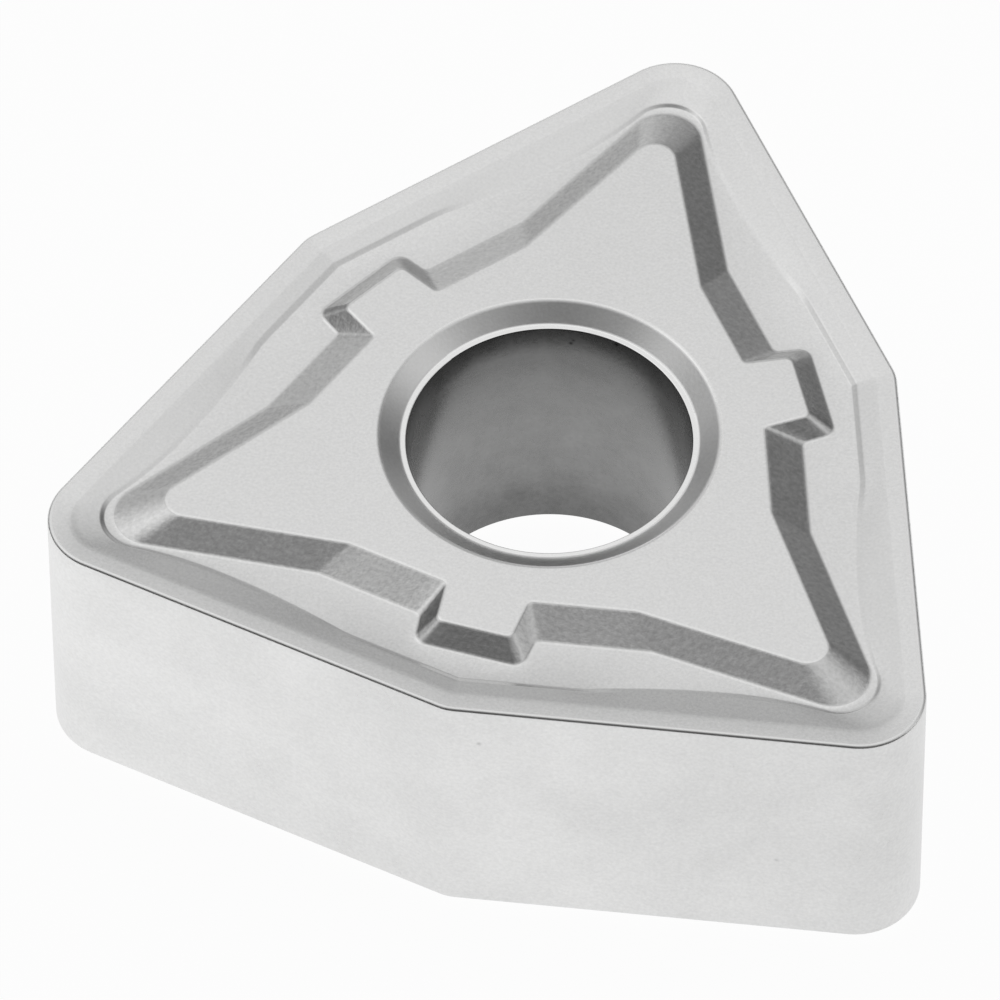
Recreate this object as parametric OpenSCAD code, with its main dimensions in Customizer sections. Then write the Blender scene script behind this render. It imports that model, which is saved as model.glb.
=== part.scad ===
// Indexable turning insert: a trigon with three 80 degree noses and three blunt corners,
// pressed and sintered in one piece, with a central hole and the same moulded
// chipbreaker on both faces. All sizes are in millimetres, and the origin lies on the
// hole's axis in the plane of the lower seat.

/* [Blank] */
// Diameter of the circle that touches all six flanks
inscribed_d = 12.7; // [12:0.1:14]
// Height of a flank, from its upper cutting edge to its lower one
flank_h = 5.56; // [3.5:0.01:8]
// Radius of the three cutting noses
nose_r = 1.2; // [1:0.05:1.5]
// Radius of the three blunt corners between the noses
blunt_r = 0.9; // [0.4:0.1:2]
// Width and height of the honed bevel along each cutting edge
hone = 0.035; // [0.02:0.005:0.06]

/* [Hole] */
// Diameter of the straight bore
bore_d = 5.16; // [4:0.01:5.4]
// Diameter of the countersink where it meets the seat
sink_d = 6.16; // [5.8:0.01:6.6]
// Slope of the countersink, measured from the seat
sink_slope = 31; // [20:1:45]
// Width of the flat ledge between countersink and bore
ledge_w = 0.12; // [0.05:0.01:0.15]

/* [Chipbreaker] */
// Width of the land that follows each cutting edge
land_w = 0.40; // [0.3:0.01:0.45]
// Drop of the land from the cutting edge to its inner side
land_drop = 0.018; // [0.005:0.001:0.03]
// Width of the first, steeper part of the rake face behind the land
rake_w = 0.12; // [0.08:0.01:0.15]
// Drop of that first part
rake_drop = 0.027; // [0.02:0.001:0.035]
// Depth of the chip floor below the cutting edge
floor_depth = 0.105; // [0.09:0.005:0.15]
// Distance from the cutting edge to the floor's outer border, near a blunt corner
border_blunt = 0.845; // [0.8:0.005:0.9]
// The same distance where the border stands furthest in
border_mid = 1.035; // [0.95:0.005:1.1]
// Width of the small step from the rake face down to the floor
step_w = 0.06; // [0.04:0.01:0.08]
// Height of that step at a nose
step_nose = 0.042; // [0.03:0.002:0.05]
// Height of that step along the flanks
step_side = 0.016; // [0.01:0.002:0.025]

/* [Seat] */
// Height of the flat seat over the cutting edge
seat_rise = 0.155; // [0.1:0.005:0.25]
// Distance from the cutting edge to the seat, between a tab and the kink
seat_inset = 2.475; // [2.4:0.005:2.55]
// Distance from the cutting edge to the foot of the seat's wall there
foot_inset = 1.81; // [1.75:0.005:1.85]
// Angle by which the seat's wall turns towards the flank at the kink
kink_angle = 15; // [14:0.5:16]
// Place of the kink along the seat, counted from the blunt corner
kink_seat = 3.15; // [3:0.05:3.3]
// Place of the kink along the foot of the wall
kink_foot = 3.50; // [3.4:0.05:3.6]
// Radius of the seat's outline at a nose
seat_nose_r = 0.40; // [0.3:0.02:0.5]
// Radius of the foot's outline at a nose
foot_nose_r = 0.65; // [0.6:0.01:0.7]

/* [Tabs] */
// Distance from the hole's axis to a tab's front edge
tab_reach = 4.67; // [4.5:0.01:4.8]
// Half of a tab's width at its front edge
tab_front = 0.70; // [0.6:0.01:0.75]
// Half of a tab's width where it joins the seat
tab_root = 0.77; // [0.7:0.01:0.85]
// Run of a tab's front wall, from the seat out to its foot
tab_front_run = 0.38; // [0.3:0.01:0.42]
// Run of a tab's side walls
tab_side_run = 0.30; // [0.25:0.01:0.35]
// Radius of a tab's two corners
tab_r = 0.12; // [0.05:0.01:0.2]
// Radius of the hollow where a tab's side meets the seat's wall
root_r = 0.10; // [0.05:0.01:0.14]

/* [Hidden] */
NOSES = 3;
corner_a = 80;
// The first nose points along +Y
first_nose = 90;
flank_dir = 90 - corner_a / 2;
blunt_dir = 180 / NOSES;
flank_dist = inscribed_d / 2;
nose_at = (flank_dist - nose_r) / cos(flank_dir);
blunt_at = (flank_dist - blunt_r) / cos(blunt_dir - flank_dir);
// Along a flank, places are counted from the sharp blunt corner
foot_s = flank_dist * tan(blunt_dir - flank_dir);
overall_h = flank_h + 2 * seat_rise;
mid_z = overall_h / 2;

// Where the floor's outer border leaves and rejoins its straight run
border_turn = 2.4;
border_far = 5.0;
border_nose_at = 7.515;
border_nose_r = 0.722;

// How far the cutter stands clear of the blank
lift = 0.06;
clear = 0.4;

// Pieces in a half nose, between the kink and the nose, and round a tab's corner or hollow
NOSE_STEPS = 8;
RUN_STEPS = 7;
TAB_STEPS = 2;
HOLE_FACETS = 128;
CORNER_FACETS = 96;
// A tab's corners and hollows are this much rounder at the foot of its walls
tab_ease = 0.05;

// Places along a flank that the outer rings share, from the tab to the kink
further_places = [1, 1.3, 1.5, 1.65, 1.8, 2.4, 2.75, 3.1, 3.5];
kink_place = further_places[len(further_places) - 1];
// Points of a half ring that come before the run from the kink to the nose
before_run = len(further_places) + 1;
// Where the wall's points lie between a tab and the kink, as parts of that run
wall_parts = [0.4, 0.6, 0.8, 1];

sink_r = sink_d / 2;
bore_r = bore_d / 2;
ledge_r = bore_r + ledge_w;
ledge_z = -(sink_r - ledge_r) * tan(sink_slope);

// A point from its place along the flank and its distance in from it
function flank_point(s, inset) =
    (flank_dist - inset) * [cos(flank_dir), sin(flank_dir)]
    + (foot_s - s) * [-sin(flank_dir), cos(flank_dir)];

// The place along the flank of a point, and its distance in from the flank
function place_of(p) = foot_s - (-p.x * sin(flank_dir) + p.y * cos(flank_dir));
function inset_of(p) = flank_dist - (p.x * cos(flank_dir) + p.y * sin(flank_dir));

// A point on the centre line of a blunt corner, a distance in from its eased outline
function blunt_point(inset) =
    (inset < blunt_r
        ? blunt_at + blunt_r - inset
        : (flank_dist - inset) / cos(blunt_dir - flank_dir))
    * [cos(blunt_dir), sin(blunt_dir)];

// Places along the flank that the outer rings share, up to the kink
function side_places(inset) =
    concat([max(blunt_r, inset) * tan(blunt_dir - flank_dir)], further_places);

// A point near a tab, from its distance along the tab and across it
function tab_point(reach, across) =
    reach * [cos(blunt_dir), sin(blunt_dir)] + across * [sin(blunt_dir), -cos(blunt_dir)];

// Half of a nose's arc, from the flank's side to the nose's centre line
function nose_arc(at, r, from_angle) =
    [for (i = [1:NOSE_STEPS])
        let (a = from_angle * (1 - i / NOSE_STEPS))
        [at + r * cos(a), r * sin(a)]];

// Mid values between two numbers or points
function mix(a, b, f) = a + (b - a) * f;

// A half ring at a constant distance from the cutting edge
function even_half(inset) =
    let (start = [nose_at + (nose_r - inset) * cos(flank_dir), (nose_r - inset) * sin(flank_dir)],
         last = place_of(start))
    concat([blunt_point(inset)],
        [for (s = side_places(inset)) flank_point(s, inset)],
        [for (i = [1:RUN_STEPS]) flank_point(mix(kink_place, last, i / RUN_STEPS), inset)],
        nose_arc(nose_at, nose_r - inset, flank_dir));

// Distance of the floor's border from the edge: a straight run, then a shallow bow
function border_inset(s, end_s, end_inset) =
    s < border_turn ? border_blunt
    : s < border_far
        ? border_mid - (border_mid - border_blunt) * pow((border_far - s) / (border_far - border_turn), 2)
    : border_mid - (border_mid - end_inset) * pow((s - border_far) / (end_s - border_far), 2);

// A half ring along the floor's border, moved out by the step's width or not
function border_half(out) =
    let (r = border_nose_r + out,
         turn = flank_dir + kink_angle,
         start = [border_nose_at + r * cos(turn), r * sin(turn)],
         last = place_of(start),
         last_inset = inset_of(start) + out)
    concat([blunt_point(border_blunt - out)],
        [for (s = side_places(border_blunt - out))
            flank_point(s, border_inset(s, last, last_inset) - out)],
        [for (i = [1:RUN_STEPS])
            let (s = mix(kink_place, last, i / RUN_STEPS))
            flank_point(s, border_inset(s, last, last_inset) - out)],
        nose_arc(border_nose_at, r, turn));

// Centre of a nose arc that is tangent to the wall line beyond the kink
function wall_nose_at(inset, kink, r) =
    let (p = flank_point(kink, inset),
         turn = flank_dir + kink_angle)
    (p.x * cos(turn) + p.y * sin(turn) - r) / cos(turn);

// Points of the arc that rounds corner b between a and c
function rounded(a, b, c, r) =
    let (u = (b - a) / norm(b - a),
         v = (c - b) / norm(c - b),
         turn = atan2(u.x * v.y - u.y * v.x, u * v),
         start = b - r * tan(abs(turn) / 2) * u,
         spoke = sign(turn) * r * [u.y, -u.x])
    [for (i = [0:TAB_STEPS])
        let (t = turn * i / TAB_STEPS)
        start - spoke + [spoke.x * cos(t) - spoke.y * sin(t), spoke.x * sin(t) + spoke.y * cos(t)]];

// A half ring along the seat's outline or along the foot of its wall
function wall_half(inset, kink, nose_r, reach, front, root, corner_r, hollow_r) =
    let (turn = flank_dir + kink_angle,
         at = wall_nose_at(inset, kink, nose_r),
         start = [at + nose_r * cos(turn), nose_r * sin(turn)],
         root_reach = (flank_dist - inset - root * sin(blunt_dir - flank_dir)) / cos(blunt_dir - flank_dir),
         middle = tab_point(reach, 0),
         corner = tab_point(reach, front),
         join = tab_point(root_reach, root),
         bend = flank_point(kink, inset),
         hollow = rounded(corner, join, bend, hollow_r))
    concat([middle],
        rounded(middle, corner, join, corner_r),
        hollow,
        [for (f = wall_parts) mix(hollow[TAB_STEPS], bend, f)],
        [for (i = [1:RUN_STEPS]) mix(bend, start, i / RUN_STEPS)],
        nose_arc(at, nose_r, turn));

// A half ring continued all the way round: each half, then its mirror image
function turned(p, a) = [p.x * cos(a) - p.y * sin(a), p.x * sin(a) + p.y * cos(a), p.z];
function mirrored(p) = [p.x, -p.y, p.z];
function whole_ring(half) =
    let (n = len(half))
    [for (k = [0:NOSES - 1])
        each concat(
            [for (i = [n - 1:-1:0]) turned(half[i], 360 / NOSES * k)],
            [for (i = [1:n - 2]) turned(mirrored(half[i]), 360 / NOSES * (k + 1))])];
function at_height(half, z) = [for (p = half) [p.x, p.y, z]];

// The top of the small step rises from the flanks towards the noses
function step_heights(half) =
    [for (i = [0:len(half) - 1])
        let (f = min(max((i - before_run) / RUN_STEPS, 0), 1))
        [half[i].x, half[i].y, -floor_depth + mix(step_side, step_nose, f * f * (3 - 2 * f))]];

// The countersunk hole, drawn as half of its section and turned
module hole() {
    upper = [[bore_r, ledge_z], [ledge_r, ledge_z], [sink_r, 0], [sink_r + lift / tan(sink_slope), lift]];
    n = len(upper);
    rotate_extrude($fn = HOLE_FACETS)
        polygon(concat(
            [[0, -mid_z - lift]],
            [for (i = [n - 1:-1:0]) [upper[i].x, -mid_z - upper[i].y]],
            [for (p = upper) [p.x, mid_z + p.y]],
            [[0, mid_z + lift]]));
}

// What the chipbreaker takes away from the upper face, with the cutting edge at height zero
module relief() {
    foot = wall_half(foot_inset, kink_foot, foot_nose_r,
        tab_reach + tab_front_run, tab_front + tab_side_run, tab_root + tab_side_run,
        tab_r + tab_ease, root_r + tab_ease);
    seat = wall_half(seat_inset, kink_seat, seat_nose_r,
        tab_reach, tab_front, tab_root, tab_r, root_r);
    // The wall runs on past the seat, so that the seat's outline is a clean cut
    over = lift / (seat_rise + floor_depth);
    rings = [for (half = [
            at_height([for (i = [0:len(seat) - 1]) seat[i] + (seat[i] - foot[i]) * over], seat_rise + lift),
            at_height(foot, -floor_depth),
            at_height(border_half(0), -floor_depth),
            step_heights(border_half(step_w)),
            at_height(even_half(land_w + rake_w), -land_drop - rake_drop),
            at_height(even_half(land_w), -land_drop),
            at_height(even_half(hone), 0),
            at_height(even_half(-clear), -hone - clear),
            at_height(even_half(-clear), seat_rise + lift)])
        whole_ring(half)];
    n = len(rings[0]);
    half_n = n / NOSES / 2;
    polyhedron(
        points = [for (ring = rings) each ring],
        faces = [for (r = [0:len(rings) - 1], i = [0:n - 1])
            let (a = r * n + i,
                 b = r * n + (i + 1) % n,
                 c = (r + 1) % len(rings) * n + (i + 1) % n,
                 d = (r + 1) % len(rings) * n + i)
            each i % (2 * half_n) < half_n ? [[a, c, b], [a, d, c]] : [[a, d, b], [b, d, c]]]);
}

// Outline of the blank: straight flanks, round noses and eased blunt corners
module outline() {
    flank_side = [cos(flank_dir), sin(flank_dir)];
    touch = [nose_at, 0] + nose_r * flank_side;
    ease = blunt_at * [cos(blunt_dir), sin(blunt_dir)] + blunt_r * flank_side;
    polygon([for (k = [0:NOSES - 1])
        for (p = [[touch.x, -touch.y, 0], [touch.x, touch.y, 0], [ease.x, ease.y, 0],
                [blunt_at * cos(blunt_dir), blunt_at * sin(blunt_dir), 0],
                turned([ease.x, -ease.y, 0], 360 / NOSES)])
            let (q = turned(p, 360 / NOSES * k))
            [q.x, q.y]]);
    for (k = [0:NOSES - 1])
        rotate(360 / NOSES * k) {
            translate([nose_at, 0])
                circle(r = nose_r, $fn = CORNER_FACETS);
            rotate(blunt_dir)
                translate([blunt_at, 0])
                    circle(r = blunt_r, $fn = CORNER_FACETS);
        }
}

module insert() {
    color([0.80, 0.80, 0.79])
        translate([0, 0, mid_z])
            rotate([0, 0, first_nose])
                difference() {
                    translate([0, 0, -mid_z])
                        linear_extrude(height = overall_h)
                            outline();
                    hole();
                    translate([0, 0, flank_h / 2])
                        relief();
                    mirror([0, 0, 1])
                        translate([0, 0, flank_h / 2])
                            relief();
                }
}

insert();
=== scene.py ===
import bpy
import bmesh
import math
from mathutils import Vector, Matrix


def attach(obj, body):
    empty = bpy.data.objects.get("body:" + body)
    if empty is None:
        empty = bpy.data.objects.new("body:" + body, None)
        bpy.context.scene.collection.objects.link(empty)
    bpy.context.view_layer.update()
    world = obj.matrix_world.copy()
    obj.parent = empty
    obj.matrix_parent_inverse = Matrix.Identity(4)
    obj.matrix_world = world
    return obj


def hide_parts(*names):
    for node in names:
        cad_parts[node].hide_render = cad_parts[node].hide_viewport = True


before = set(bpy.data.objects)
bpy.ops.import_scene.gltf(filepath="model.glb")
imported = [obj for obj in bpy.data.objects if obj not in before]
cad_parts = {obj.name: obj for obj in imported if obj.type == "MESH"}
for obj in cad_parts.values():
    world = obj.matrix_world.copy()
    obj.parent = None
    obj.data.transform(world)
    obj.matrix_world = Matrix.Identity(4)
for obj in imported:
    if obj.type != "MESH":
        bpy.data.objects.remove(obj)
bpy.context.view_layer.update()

millimetre = 0.001

# All sizes of the insert are in millimetres until its mesh is finished
insertShape = {
    "noses": 3,
    "inscribedRadius": 6.35,
    "flankHeight": 5.56,
    "noseRadius": 1.2,
    "bluntRadius": 0.9,
    "bluntLeast": 0.02,  # smallest rounding of the rows inside the blunt corner
    "crestWidth": 0.08,
    "landWidth": 0.40,
    "landDrop": 0.023,
    "rakeWidth": 0.12,
    "rakeDrop": 0.042,
    "floorDepth": 0.126,
    "borderBlunt": 0.830,
    "borderMiddle": 1.050,
    "borderTurn": 2.4,
    "borderFar": 5.0,
    "borderNoseAt": 7.517,
    "borderNoseRadius": 0.670,
    "stepWide": 0.100,
    "stepNarrow": 0.068,
    "stepBlunt": 0.052,
    "stepMiddle": 0.018,
    "stepNose": 0.038,
    "seatRise": 0.155,
    "kinkAngle": 15,
    "mouthRadius": 3.08,
    "sinkSlope": 31,
    "ledgeRadius": 2.70,
    "boreRadius": 2.58,
}

# Seat outline and foot of its wall: inset from the flank, kink, roundings, and the tab's sizes
seatLine = {"inset": 2.475, "kink": 3.15, "kinkRadius": 0.30, "noseRadius": 0.40,
            "reach": 4.67, "front": 0.70, "root": 0.77, "corner": 0.15, "hollow": 0.10}
footLine = {"inset": 1.81, "kink": 3.50, "kinkRadius": 0.30, "noseRadius": 0.67,
            "reach": 5.05, "front": 1.00, "root": 1.07, "corner": 0.22, "hollow": 0.15}
guard = 0.05  # clear strip beside each of the two lines

# Width and pieces of the rounding along each crease
rounding = {
    "edge": (0.060, 5),
    "crest": (0.015, 2),
    "land": (0.06, 3),
    "rake": (0.05, 2),
    "stepTop": (0.018, 2),
    "border": (0.018, 2),
    "foot": (0.045, 4),
    "seat": (0.045, 4),
    "mouth": (0.04, 3),
    "ledge": (0.024, 3),
    "rim": (0.020, 3),
}

# Distance of the helping rows from their creases, and the most of the way to the next row
helpers = {"edge": 0.10, "step": 0.03, "mouth": 0.055, "ledge": 0.032, "rim": 0.028,
           "bore": 0.70, "most": 0.4}

# Pieces of each stretch of a row, from the blunt corner round the tab to the nose
counts = {"front": 4, "corner": 6, "side": 2, "hollow": 4, "toKink": 6, "kink": 2,
          "toNose": 14, "noseArc": 20}
starts = {}
rowPieces = 0
for stretch, pieces in counts.items():
    starts[stretch] = rowPieces
    rowPieces += pieces

# Where the rows outside the wall pass the stretches of the wall, as places along the flank
passed = {"side": 1.35, "hollow": 1.5, "toKink": 1.8, "toNose": 3.55}

# Between which points of a row the step at the floor's border gets lower after the blunt
# corner, rises again at the nose, and gets narrower
stepEnds = {"blunt": (starts["toKink"] + 1, starts["toNose"] - 1),
            "nose": (starts["toNose"] + 5, starts["noseArc"] + 5),
            "narrow": (starts["toNose"] + 1, starts["noseArc"])}

flankAngle = math.radians(50)
bluntAngle = math.radians(60)
sideAngle = bluntAngle - flankAngle
inscribed = insertShape["inscribedRadius"]
noseAt = (inscribed - insertShape["noseRadius"]) / math.cos(flankAngle)
flankFoot = inscribed * math.tan(sideAngle)
alongFlank = Vector((-math.sin(flankAngle), math.cos(flankAngle)))
outOfFlank = Vector((math.cos(flankAngle), math.sin(flankAngle)))
alongTab = Vector((math.cos(bluntAngle), math.sin(bluntAngle)))
acrossTab = Vector((math.sin(bluntAngle), -math.cos(bluntAngle)))


def flankPoint(place, inset):
    return outOfFlank * (inscribed - inset) + alongFlank * (flankFoot - place)


def placeOf(point):
    return flankFoot - point.dot(alongFlank)


def insetOf(point):
    return inscribed - point.dot(outOfFlank)


def tabPoint(reach, across):
    return alongTab * reach + acrossTab * across


def noseArc(centre, radius, angle):
    steps = counts["noseArc"]
    return [Vector((centre + radius * math.cos(angle * (1 - i / steps)),
                    radius * math.sin(angle * (1 - i / steps)))) for i in range(steps + 1)]


def bluntArc(inset):
    radius = max(insertShape["bluntRadius"] - inset, insertShape["bluntLeast"])
    centre = alongTab * ((inscribed - inset - radius) / math.cos(sideAngle))
    steps = counts["front"]
    turns = [bluntAngle - sideAngle * i / steps for i in range(steps + 1)]
    return [centre + radius * Vector((math.cos(turn), math.sin(turn))) for turn in turns]


def circleRow(radius):
    turns = [bluntAngle * (1 - i / rowPieces) for i in range(rowPieces + 1)]
    return [Matrix.Rotation(turn, 2) @ Vector((radius, 0)) for turn in turns]


def sharedPlaces(first, last):
    stops = [(starts["corner"], first)]
    stops += [(starts[name], place) for name, place in passed.items()]
    stops.append((starts["noseArc"], last))
    places = []
    for (i0, s0), (i1, s1) in zip(stops, stops[1:]):
        places += [s0 + (s1 - s0) * (i - i0) / (i1 - i0) for i in range(i0 + 1, i1 + 1)]
    return places[:-1]


def evenRow(inset):
    # A row at one distance from the cutting edge
    start = bluntArc(inset)
    arc = noseArc(noseAt, insertShape["noseRadius"] - inset, flankAngle)
    places = sharedPlaces(placeOf(start[-1]), placeOf(arc[0]))
    return start + [flankPoint(place, inset) for place in places] + arc


def borderRow(out):
    # The floor's border: straight near the blunt corner, then a shallow bow, then round the nose
    s = insertShape
    turn = flankAngle + math.radians(s["kinkAngle"])
    arc = noseArc(s["borderNoseAt"], s["borderNoseRadius"] + out, turn)
    last, lastInset = placeOf(arc[0]), insetOf(arc[0]) + out

    def bow(place):
        if place < s["borderTurn"]:
            return s["borderBlunt"]
        if place < s["borderFar"]:
            part = (s["borderFar"] - place) / (s["borderFar"] - s["borderTurn"])
            return s["borderMiddle"] - (s["borderMiddle"] - s["borderBlunt"]) * part ** 2
        part = (place - s["borderFar"]) / (last - s["borderFar"])
        return s["borderMiddle"] - (s["borderMiddle"] - lastInset) * part ** 2

    start = bluntArc(s["borderBlunt"] - out)
    places = sharedPlaces(placeOf(start[-1]), last)
    return start + [flankPoint(place, bow(place) - out) for place in places] + arc


def roundCorner(before, corner, after, radius, steps):
    # The arc that rounds a corner of a line
    into, onward = (corner - before).normalized(), (after - corner).normalized()
    turn = math.atan2(into.cross(onward), into.dot(onward))
    start = corner - into * (radius * math.tan(abs(turn) / 2))
    spoke = Vector((into.y, -into.x)) * math.copysign(radius, turn)
    return [start - spoke + Matrix.Rotation(turn * i / steps, 2) @ spoke for i in range(steps + 1)]


def wallRow(line):
    # Seat outline or wall foot: round the tab, along the flank to the kink, then in to the nose
    turn = flankAngle + math.radians(insertShape["kinkAngle"])
    bend = flankPoint(line["kink"], line["inset"])
    noseReach = bend.dot(Vector((math.cos(turn), math.sin(turn)))) - line["noseRadius"]
    nose = noseArc(noseReach / math.cos(turn), line["noseRadius"], turn)
    rootReach = inscribed - line["inset"] - line["root"] * math.sin(sideAngle)
    middle, corner = tabPoint(line["reach"], 0), tabPoint(line["reach"], line["front"])
    join = tabPoint(rootReach / math.cos(sideAngle), line["root"])
    arcs = {
        "front": roundCorner(middle, corner, join, line["corner"], counts["corner"]),
        "side": roundCorner(corner, join, bend, line["hollow"], counts["hollow"]),
        "toKink": roundCorner(join, bend, nose[0], line["kinkRadius"], counts["kink"]),
        "toNose": nose,
    }
    row = [middle]
    for run, arc in arcs.items():
        last, steps = row[-1], counts[run]
        row += [last.lerp(arc[0], i / steps) for i in range(1, steps)] + arc
    return row


def moved(line, out):
    # The same line, moved out by a distance
    bendShift = out * math.tan(math.radians(insertShape["kinkAngle"] / 2))
    grown = {name: line[name] + out for name in ("noseRadius", "reach", "front", "root", "corner")}
    shrunk = {name: line[name] - out for name in ("inset", "kinkRadius", "hollow")}
    return {**grown, **shrunk, "kink": line["kink"] - bendShift}


def eased(value, span):
    part = min(max((value - span[0]) / (span[1] - span[0]), 0), 1)
    return part * part * (3 - 2 * part)


def stepHeight(index):
    s = insertShape
    left = (s["stepBlunt"] - s["stepMiddle"]) * (1 - eased(index, stepEnds["blunt"]))
    right = (s["stepNose"] - s["stepMiddle"]) * eased(index, stepEnds["nose"])
    return s["stepMiddle"] + left + right


def stepRow(floorAt):
    # The top of the small step at the floor's border
    row = []
    for i, (wide, narrow) in enumerate(zip(borderRow(insertShape["stepWide"]),
                                           borderRow(insertShape["stepNarrow"]))):
        place = wide.lerp(narrow, eased(i, stepEnds["narrow"]))
        row.append(Vector((place.x, place.y, floorAt + stepHeight(i))))
    return row


def level(row, z):
    return [Vector((p.x, p.y, z)) for p in row]


def beside(row, other, gap):
    # A helping row at a distance from one row towards another: the face between them stays flat
    helper = []
    for i, (a, b) in enumerate(zip(row, other)):
        along = (row[min(i + 1, len(row) - 1)] - row[max(i - 1, 0)]).normalized()
        helper.append(a + (b - a) * min(gap / (b - a).cross(along).length, helpers["most"]))
    return helper


def insertRows():
    # Rows from the middle of the flank over the upper face to the middle of the bore,
    # each with its crease and the zone that follows it
    s = insertShape
    edgeAt = s["flankHeight"] / 2
    floorAt = edgeAt - s["floorDepth"]
    seatAt = edgeAt + s["seatRise"]
    sinkRun = s["mouthRadius"] - s["ledgeRadius"]
    ledgeAt = seatAt - sinkRun * math.tan(math.radians(s["sinkSlope"]))
    rake = level(evenRow(s["landWidth"] + s["rakeWidth"]), edgeAt - s["rakeDrop"])
    stepTop = stepRow(floorAt)
    mouth = level(circleRow(s["mouthRadius"]), seatAt)
    ledge = level(circleRow(s["ledgeRadius"]), ledgeAt)
    bore = circleRow(s["boreRadius"])
    return [
        (level(evenRow(0), 0), None, "flank"),
        (level(evenRow(0), edgeAt - helpers["edge"]), None, "flank"),
        (level(evenRow(0), edgeAt), "edge", "edge"),
        (level(evenRow(s["crestWidth"]), edgeAt), "crest", "land"),
        (level(evenRow(s["landWidth"]), edgeAt - s["landDrop"]), "land", "rake"),
        (rake, "rake", "rake"),
        (beside(stepTop, rake, helpers["step"]), None, "rake"),
        (stepTop, "stepTop", "rake"),
        (level(borderRow(0), floorAt), "border", "floor"),
        (level(wallRow(moved(footLine, guard)), floorAt), None, "floor"),
        (level(wallRow(footLine), floorAt), "foot", "wall"),
        (level(wallRow(seatLine), seatAt), "seat", "seat"),
        (level(wallRow(moved(seatLine, -guard)), seatAt), None, "seat"),
        (level(circleRow(s["mouthRadius"] + helpers["mouth"]), seatAt), None, "seat"),
        (mouth, "mouth", "sink"),
        (beside(mouth, ledge, helpers["mouth"]), None, "sink"),
        (beside(ledge, mouth, helpers["ledge"]), None, "sink"),
        (ledge, "ledge", "rim"),
        (level(circleRow(s["ledgeRadius"] - helpers["ledge"]), ledgeAt), None, "rim"),
        (level(circleRow(s["boreRadius"] + helpers["rim"]), ledgeAt), None, "rim"),
        (level(bore, ledgeAt), "rim", "hole"),
        (level(bore, ledgeAt - helpers["bore"]), None, "hole"),
        (level(bore, 0), None, None),
    ]


zones = ["flank", "edge", "land", "rake", "floor", "wall", "seat", "sink", "rim", "hole"]
creases = list(rounding)
mergeGap = 0.0005


def everything(bm):
    return bm.verts[:] + bm.edges[:] + bm.faces[:]


def mirrorOver(bm, axis):
    bmesh.ops.mirror(bm, geom=everything(bm), matrix=Matrix(), merge_dist=mergeGap, axis=axis)


def bridgeRows(bm, creaseLayer):
    # The rows become chains of edges, and each chain is bridged to the next
    chains = []
    for points, crease, zone in insertRows():
        verts = [bm.verts.new(p) for p in points]
        chain = [bm.edges.new(pair) for pair in zip(verts, verts[1:])]
        for edge in chain:
            edge[creaseLayer] = creases.index(crease) + 1 if crease else 0
        chains.append((chain, zone))
    for (chain, zone), (following, _) in zip(chains, chains[1:]):
        made = bmesh.ops.bridge_loops(bm, edges=chain + following)
        for face in made["faces"]:
            face.material_index = zones.index(zone)


def roundCreases(bm, creaseLayer):
    for number, name in enumerate(creases, 1):
        width, pieces = rounding[name]
        creased = [edge for edge in bm.edges if edge[creaseLayer] == number]
        print(name, "creases rounded:", len(creased))
        made = bmesh.ops.bevel(bm, geom=creased, offset=width, offset_type="OFFSET",
                               segments=pieces, profile=0.5, affect="EDGES", material=-1,
                               clamp_overlap=False, loop_slide=True)
        for edge in made["edges"]:
            edge[creaseLayer] = 0


def newPiece(name, bm):
    mesh = bpy.data.meshes.new(name)
    bm.to_mesh(mesh)
    bm.free()
    piece = bpy.data.objects.new(name, mesh)
    bpy.context.scene.collection.objects.link(piece)
    return piece


def buildInsert():
    s = insertShape
    bm = bmesh.new()
    creaseLayer = bm.edges.layers.int.new("crease")
    bridgeRows(bm, creaseLayer)
    # Half a nose becomes the whole insert: mirrored, turned to each nose, mirrored to the underside
    mirrorOver(bm, "Y")
    copies = s["noses"] - 1
    bmesh.ops.spin(bm, geom=everything(bm), cent=(0, 0, 0), axis=(0, 0, 1), dvec=(0, 0, 0),
                   angle=math.radians(360 / s["noses"] * copies), steps=copies, use_duplicate=True)
    bmesh.ops.remove_doubles(bm, verts=bm.verts[:], dist=mergeGap)
    mirrorOver(bm, "Z")
    bmesh.ops.remove_doubles(bm, verts=bm.verts[:], dist=mergeGap)
    bmesh.ops.recalc_face_normals(bm, faces=bm.faces[:])
    roundCreases(bm, creaseLayer)
    for face in bm.faces:
        face.smooth = True
    # Up onto the lower seat, with the first nose along +Y, and into metres
    middle = s["flankHeight"] / 2 + s["seatRise"]
    bmesh.ops.translate(bm, vec=(0, 0, middle), verts=bm.verts[:])
    bmesh.ops.rotate(bm, cent=(0, 0, 0), matrix=Matrix.Rotation(math.pi / 2, 3, "Z"),
                     verts=bm.verts[:])
    bmesh.ops.scale(bm, vec=(millimetre, millimetre, millimetre), verts=bm.verts[:])
    print("insert:", len(bm.verts), "points,", len(bm.faces), "faces, open edges",
          sum(1 for edge in bm.edges if not edge.is_manifold))
    return newPiece("Insert", bm)


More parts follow.
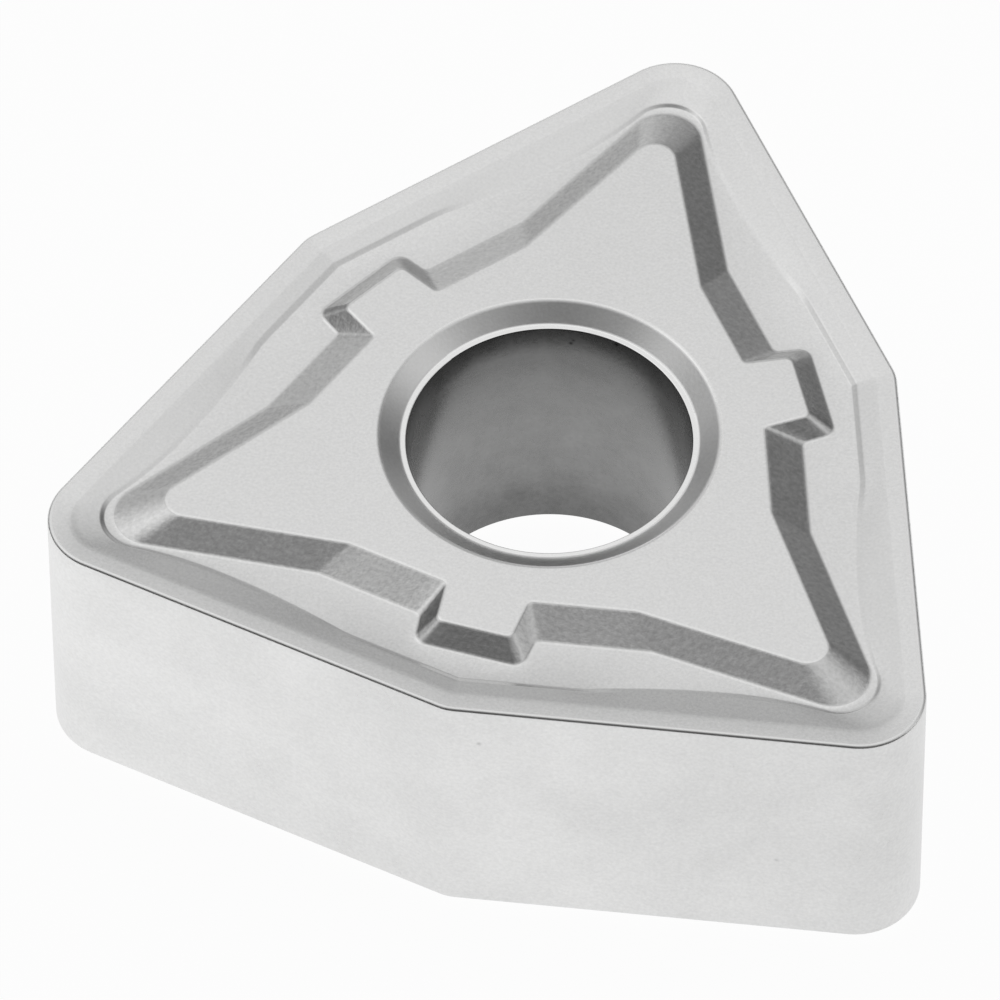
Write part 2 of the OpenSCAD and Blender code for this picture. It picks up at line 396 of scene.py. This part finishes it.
class Signal:
    # A socket of a node tree: sums, products and powers of it add Math nodes
    def __init__(self, tree, socket=None):
        self.tree = tree
        self.socket = socket

    def node(self, kind, settings=None, inputs=None, output=0):
        made = self.tree.nodes.new(kind)
        for name, value in (settings or {}).items():
            setattr(made, name, value)
        for name, value in (inputs or {}).items():
            if isinstance(value, Signal):
                self.tree.links.new(value.socket, made.inputs[name])
            else:
                made.inputs[name].default_value = value
        return Signal(self.tree, made.outputs[output]) if made.outputs else None

    def math(self, operation, first, second=0.0):
        return self.node("ShaderNodeMath", {"operation": operation}, {0: first, 1: second})

    def __add__(self, other):
        return self.math("ADD", self, other)

    def __radd__(self, other):
        return self.math("ADD", other, self)

    def __sub__(self, other):
        return self.math("SUBTRACT", self, other)

    def __rsub__(self, other):
        return self.math("SUBTRACT", other, self)

    def __mul__(self, other):
        return self.math("MULTIPLY", self, other)

    def __rmul__(self, other):
        return self.math("MULTIPLY", other, self)

    def __truediv__(self, other):
        return self.math("DIVIDE", self, other)

    def __pow__(self, other):
        return self.math("POWER", self, other)

    def bell(self, width):
        # 1 where the value is zero, and falling away to both sides
        return self.math("EXPONENT", (self / width) ** 2.0 * -1.0)


def emptyTree(owner):
    owner.use_nodes = True
    owner.node_tree.nodes.clear()
    return Signal(owner.node_tree)


# Each zone of the surface: how pale it is, how rough, and the grain that the press and the
# furnace left. Sizes and relief are in millimetres
finishes = {
    # On the flank, a painted shade darkens the tone slightly towards +X
    "flank": {"pale": 0.75, "cloud": 0.10, "cloudSize": 2.4, "grain": 0.09, "grainSize": 0.07,
              "rough": 0.30, "relief": 0.0015, "paintedSideShade": 0.007},
    "edge": {"pale": 0.95, "cloud": 0.02, "cloudSize": 1.2, "grain": 0.06, "grainSize": 0.06,
             "rough": 0.36, "relief": 0.0008},
    "land": {"pale": 0.81, "cloud": 0.02, "cloudSize": 1.2, "grain": 0.09, "grainSize": 0.055,
             "rough": 0.19, "relief": 0.0008},
    "rake": {"pale": 0.78, "cloud": 0.02, "cloudSize": 1.2, "grain": 0.08, "grainSize": 0.055,
             "rough": 0.19, "relief": 0.0008},
    "floor": {"pale": 0.80, "cloud": 0.03, "cloudSize": 1.2, "grain": 0.10, "grainSize": 0.055,
              "rough": 0.19, "relief": 0.0008},
    "wall": {"pale": 0.69, "cloud": 0.02, "cloudSize": 1.0, "grain": 0.16, "grainSize": 0.085,
             "rough": 0.23, "relief": 0.0030},
    "seat": {"pale": 0.83, "cloud": 0.03, "cloudSize": 1.6, "grain": 0.10, "grainSize": 0.055,
             "rough": 0.19, "relief": 0.0008},
    "sink": {"pale": 0.86, "cloud": 0.03, "cloudSize": 1.2, "grain": 0.08, "grainSize": 0.06,
             "rough": 0.32, "relief": 0.0015},
    "rim": {"pale": 0.97, "cloud": 0.02, "cloudSize": 1.2, "grain": 0.03, "grainSize": 0.07,
            "rough": 0.20, "relief": 0.0010},
    # The bore's dark tone is painted shade, for the shade that falls inside it
    "hole": {"pale": 0.25, "cloud": 0.05, "cloudSize": 0.6, "grain": 0.03, "grainSize": 0.09,
             "rough": 0.28, "relief": 0.0015, "shade": 0.46},
}

# What all zones share, and how deep the painted shade at the bore's mouths reaches, in millimetres
sinter = {"cloudDetail": 3.0, "cloudRoughness": 0.6, "grainDetail": 2.0, "grainRoughness": 0.55,
          "roughSwing": 0.08, "blue": 0.995, "shadeDepth": 1.3}

# Small dark specks of the surface: zone, place and size in millimetres, and how much darker
specks = [
    {"zone": "flank", "place": (0.60, -6.34, 4.81), "size": 0.045, "darker": 0.20},
    {"zone": "flank", "place": (5.86, -5.41, 2.21), "size": 0.040, "darker": 0.16},
    {"zone": "hole", "place": (-0.31, 2.56, 5.36), "size": 0.030, "darker": 0.10},
    {"zone": "hole", "place": (-0.36, 2.55, 5.27), "size": 0.034, "darker": 0.14},
    {"zone": "hole", "place": (0.51, 2.53, 5.57), "size": 0.045, "darker": 0.12},
]


def noise(place, size, detail, roughness):
    # Goes from 0 to 1 around 0.5, so half is taken off for a swing around zero
    return place.node("ShaderNodeTexNoise", {"noise_dimensions": "3D"},
                      {"Vector": place, "Scale": 1 / size, "Detail": detail,
                       "Roughness": roughness}) - 0.5


def sinteredMaterial(zone):
    finish = finishes[zone]
    material = bpy.data.materials.new("carbide_" + zone)
    start = emptyTree(material)
    place = start.node("ShaderNodeVectorMath", {"operation": "SCALE"},
                       {0: start.node("ShaderNodeTexCoord", output="Object"),
                        "Scale": 1 / millimetre})
    cloud = noise(place, finish["cloudSize"], sinter["cloudDetail"], sinter["cloudRoughness"])
    grain = noise(place, finish["grainSize"], sinter["grainDetail"], sinter["grainRoughness"])
    pale = finish["pale"] + cloud * (2 * finish["cloud"]) + grain * (2 * finish["grain"])
    if "paintedSideShade" in finish:
        # Painted shade: the tone falls slightly towards +X, so the flank on that side is darker
        across = start.node("ShaderNodeSeparateXYZ", None, {"Vector": place}, output="X")
        pale = pale - across * finish["paintedSideShade"]
    if "shade" in finish:
        # Painted shade: the bore darker towards both of its mouths
        middle = insertShape["flankHeight"] / 2 + insertShape["seatRise"]
        height = start.node("ShaderNodeSeparateXYZ", None, {"Vector": place}, output="Z")
        depth = middle - start.math("ABSOLUTE", height - middle)
        pale = pale - depth.bell(sinter["shadeDepth"]) * (finish["shade"] * finish["pale"])
    for speck in specks:
        if speck["zone"] == zone:
            away = start.node("ShaderNodeVectorMath", {"operation": "DISTANCE"},
                              {0: place, 1: speck["place"]}, output="Value")
            pale = pale - away.bell(speck["size"]) * speck["darker"]
    colour = start.node("ShaderNodeCombineColor", None,
                        {"Red": pale, "Green": pale, "Blue": pale * sinter["blue"]})
    rough = finish["rough"] + grain * sinter["roughSwing"] + cloud * sinter["roughSwing"]
    bump = start.node("ShaderNodeBump", None,
                      {"Strength": 1.0, "Distance": finish["relief"] * millimetre, "Height": grain})
    shader = start.node("ShaderNodeBsdfPrincipled", None,
                        {"Base Color": colour, "Metallic": 1.0, "Roughness": rough,
                         "Normal": bump})
    start.node("ShaderNodeOutputMaterial", None, {"Surface": shader})
    return material


print("modelling the insert")
insert = buildInsert()
for zone in zones:
    insert.data.materials.append(sinteredMaterial(zone))
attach(insert, "root")
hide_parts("insert")

# Floor: white to the camera and in the metal's reflection, and it keeps a soft shadow
floorLook = {"radius": 1.5, "sides": 96, "colour": 0.86, "whiteShare": 0.965}


def buildFloor():
    bm = bmesh.new()
    bmesh.ops.create_circle(bm, cap_ends=True, segments=floorLook["sides"],
                            radius=floorLook["radius"])
    floor = newPiece("Floor", bm)
    material = bpy.data.materials.new("pale_floor")
    start = emptyTree(material)
    seen = 0.0
    for ray in ("Is Camera Ray", "Is Glossy Ray", "Is Transmission Ray"):
        seen = start.math("MAXIMUM", seen, start.node("ShaderNodeLightPath", output=ray))
    shade = floorLook["colour"]
    paint = start.node("ShaderNodeBsdfDiffuse", None, {"Color": (shade, shade, shade, 1)})
    white = start.node("ShaderNodeEmission", None, {"Color": (1, 1, 1, 1), "Strength": 1.0})
    mixed = start.node("ShaderNodeMixShader", None,
                       {0: seen * floorLook["whiteShare"], 1: paint, 2: white})
    # From below the floor is clear, so that the underside can be looked at
    below = start.node("ShaderNodeNewGeometry", output="Backfacing")
    clear = start.node("ShaderNodeBsdfTransparent")
    ended = start.node("ShaderNodeMixShader", None, {0: below, 1: mixed, 2: clear})
    start.node("ShaderNodeOutputMaterial", None, {"Surface": ended})
    floor.data.materials.append(material)


# The studio: soft lights named by where they stand, with azimuth and elevation in degrees.
# The higher the focus, the smaller the light
studio = {
    "backCard": {"azimuth": 107, "elevation": 54, "strength": 0.62, "focus": 16},
    "backLow": {"azimuth": 119, "elevation": 17, "strength": 0.67, "focus": 22},
    "backRight": {"azimuth": 86, "elevation": 10, "strength": 0.41, "focus": 16},
    "leftLow": {"azimuth": 150, "elevation": 37, "strength": 0.42, "focus": 15},
    "leftCard": {"azimuth": 164, "elevation": 60, "strength": 0.81, "focus": 21},
    "leftHigh": {"azimuth": 215, "elevation": 61, "strength": 0.13, "focus": 18},
    "overhead": {"azimuth": 48, "elevation": 72, "strength": 0.67, "focus": 11},
    "rightCard": {"azimuth": 18, "elevation": 32, "strength": 0.79, "focus": 13},
    "leftSide": {"azimuth": 197, "elevation": 48, "strength": 0.48, "focus": 45},
    "leftSmall": {"azimuth": 166, "elevation": 29, "strength": 0.18, "focus": 60},
    "frontHigh": {"azimuth": 246, "elevation": 63, "strength": 0.13, "focus": 60},
    "frontRight": {"azimuth": 320, "elevation": 65, "strength": 0.08, "focus": 60},
    "frontFill": {"azimuth": 300, "elevation": 25, "strength": 0.13, "focus": 4},
}


def lightStudio():
    world = bpy.data.worlds.new("Studio")
    bpy.context.scene.world = world
    start = emptyTree(world)
    direction = start.node("ShaderNodeTexCoord", output="Generated")
    light = 0.0
    for card in studio.values():
        azimuth, elevation = math.radians(card["azimuth"]), math.radians(card["elevation"])
        towards = Vector((math.cos(elevation) * math.cos(azimuth),
                          math.cos(elevation) * math.sin(azimuth), math.sin(elevation)))
        facing = start.node("ShaderNodeVectorMath", {"operation": "DOT_PRODUCT"},
                            {0: direction, 1: towards}, output="Value")
        glow = start.math("EXPONENT", (facing - 1.0) * card["focus"])
        light = light + glow * card["strength"]
    background = start.node("ShaderNodeBackground", None,
                            {"Color": (1, 1, 1, 1), "Strength": light})
    start.node("ShaderNodeOutputWorld", None, {"Surface": background})


# The viewpoint: a long lens, far off, in millimetres and degrees. The nearest clip is in metres
viewpoint = {"place": (44.2385, -146.8774, 197.0085), "turn": (38.46363, 0.18474, 16.86345),
             "lens": 490.385, "sensor": 36, "clip": 0.01}


def placeCamera():
    camera = bpy.data.objects.new("Camera", bpy.data.cameras.new("Camera"))
    bpy.context.scene.collection.objects.link(camera)
    camera.data.lens = viewpoint["lens"]
    camera.data.sensor_width = viewpoint["sensor"]
    camera.data.clip_start = viewpoint["clip"]
    camera.location = [value * millimetre for value in viewpoint["place"]]
    camera.rotation_euler = [math.radians(value) for value in viewpoint["turn"]]
    bpy.context.scene.camera = camera


print("floor, lights and camera")
buildFloor()
lightStudio()
placeCamera()
bpy.context.scene.view_settings.view_transform = "Standard"
